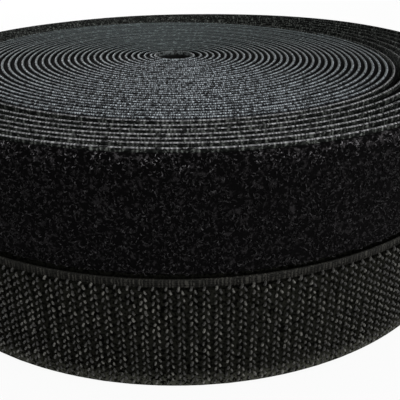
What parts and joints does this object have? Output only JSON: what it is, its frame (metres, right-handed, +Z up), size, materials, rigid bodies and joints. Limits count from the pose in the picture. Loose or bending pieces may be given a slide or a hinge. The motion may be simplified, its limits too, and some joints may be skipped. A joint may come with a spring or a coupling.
{
  "type": "hook and loop tape roll",
  "caption": "Stacked coreless rolls of black woven hook and loop tape round an open eye; the upper roll lifts off and turns, and the free tape ends peel away.",
  "frame": {"origin": "middle of the stack's footprint, on the surface that the hook roll stands on", "axes": "+Z up along the axis of both rolls; -Y faces the viewer of the picture; +X to the right"},
  "size_m": [0.1556, 0.1582, 0.0514],
  "materials": {
    "hook_web": "black woven nylon web, satin at the selvedges",
    "hooks": "black nylon monofilament hooks in staggered columns",
    "loop_web": "black woven nylon web, grey sheen on the turn edges",
    "loop_pile": "black napped nylon loops, matte"
  },
  "bodies": {
    "hook_roll": {"hook_eye": "hook_web", "hook_inner_turns": "hook_web", "hook_web_turns": "hook_web", "hook_field": "hooks"},
    "hook_tail": {"hook_tail_web": "hook_web", "hook_tail_field": "hooks"},
    "loop_eye": {"loop_eye": "loop_web"},
    "loop_roll": {"loop_inner_turns": "loop_web", "loop_web_turns": "loop_web", "loop_pile": "loop_pile"},
    "loop_tail": {"loop_tail_web": "loop_web", "loop_tail_pile": "loop_pile"}
  },
  "joints": [
    {"name": "loop_roll_lift", "type": "slide", "parent": "hook_roll", "child": "loop_eye", "axis": [0, 0, 1], "range_m": [0, 0.06]},
    {"name": "loop_roll_turn", "type": "hinge", "parent": "loop_eye", "child": "loop_roll", "pos_m": [-0.0026, -0.00392, 0.0387], "axis": [0, 0, 1], "continuous": true},
    {"name": "hook_end_peel", "type": "hinge", "parent": "hook_roll", "child": "hook_tail", "pos_m": [0.02004, 0.07629, 0.0127], "axis": [0, 0, -1], "range_deg": [0, 110]},
    {"name": "loop_end_peel", "type": "hinge", "parent": "loop_roll", "child": "loop_tail", "pos_m": [0.06407, 0.04408, 0.0384], "axis": [0, 0, -1], "range_deg": [0, 110]}
  ]
}
